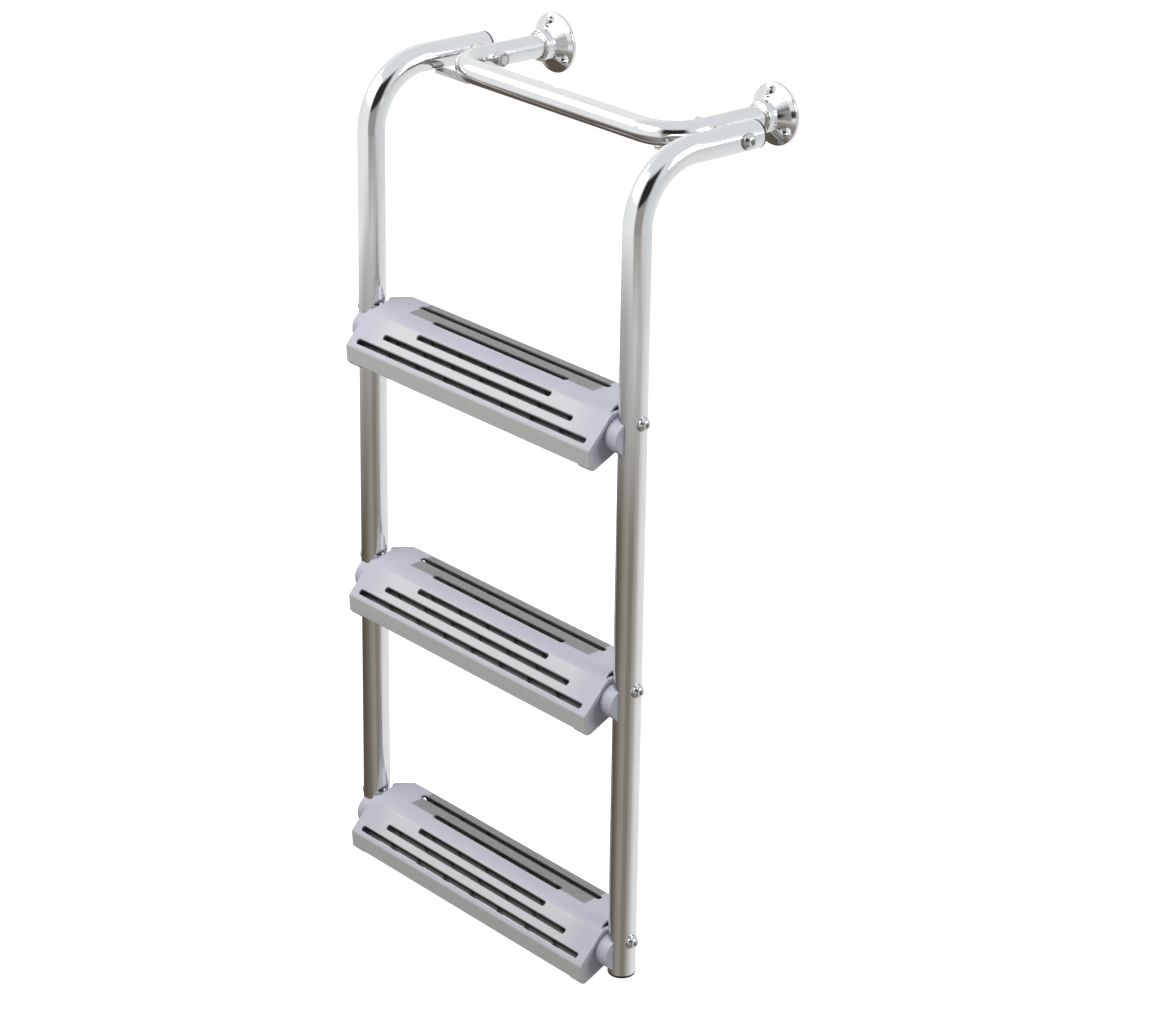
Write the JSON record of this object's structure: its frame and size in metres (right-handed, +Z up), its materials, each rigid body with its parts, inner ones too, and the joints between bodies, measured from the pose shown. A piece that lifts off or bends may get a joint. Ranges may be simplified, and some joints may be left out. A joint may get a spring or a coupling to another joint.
{
  "type": "folding bow ladder",
  "caption": "Folding boarding ladder with goosenecked steel side tubes and moulded treads, hinged on a U-shaped bow bar with round flanges.",
  "frame": {"origin": "middle of the left flange's back face, where it meets the boat", "axes": "+X to the climber's right, +Y towards the boat, +Z up along the side tubes"},
  "size_m": [0.399, 0.2285, 0.7985],
  "materials": {
    "tube": "mirror polished stainless steel tube",
    "flange": "turned and polished stainless steel",
    "tab": "satin stainless steel plate",
    "fastener": "bright stainless steel",
    "tread": "moulded, light blue grey, fine grain",
    "plug": "moulded, black",
    "spacer": "turned white bearing plastic"
  },
  "bodies": {
    "bow_mount": {"bow_bar": "tube", "flange_left": "flange", "pivot_bolt_left": "fastener", "pivot_spacer_left": "spacer", "pivot_nut_left": "fastener", "stop_tab_left": "tab", "flange_right": "flange", "pivot_bolt_right": "fastener", "pivot_spacer_right": "spacer", "pivot_nut_right": "fastener", "stop_tab_right": "tab"},
    "ladder": {"side_tube_left": "tube", "side_tube_right": "tube", "arm_plug_left": "plug", "arm_plug_right": "plug", "foot_plug_left": "plug", "foot_plug_right": "plug", "step_top": "tread", "step_middle": "tread", "step_bottom": "tread", "step_bolt_top_left": "fastener", "step_bolt_top_right": "fastener", "step_bolt_middle_left": "fastener", "step_bolt_middle_right": "fastener", "step_bolt_bottom_left": "fastener", "step_bolt_bottom_right": "fastener", "step_nut_top_left": "fastener", "step_nut_top_right": "fastener", "step_nut_middle_left": "fastener", "step_nut_middle_right": "fastener", "step_nut_bottom_left": "fastener", "step_nut_bottom_right": "fastener"}
  },
  "joints": [
    {"name": "fold", "type": "hinge", "parent": "bow_mount", "child": "ladder", "pos_m": [0, -0.077, 0], "axis": [-1, 0, 0], "range_deg": [0, 140]}
  ]
}
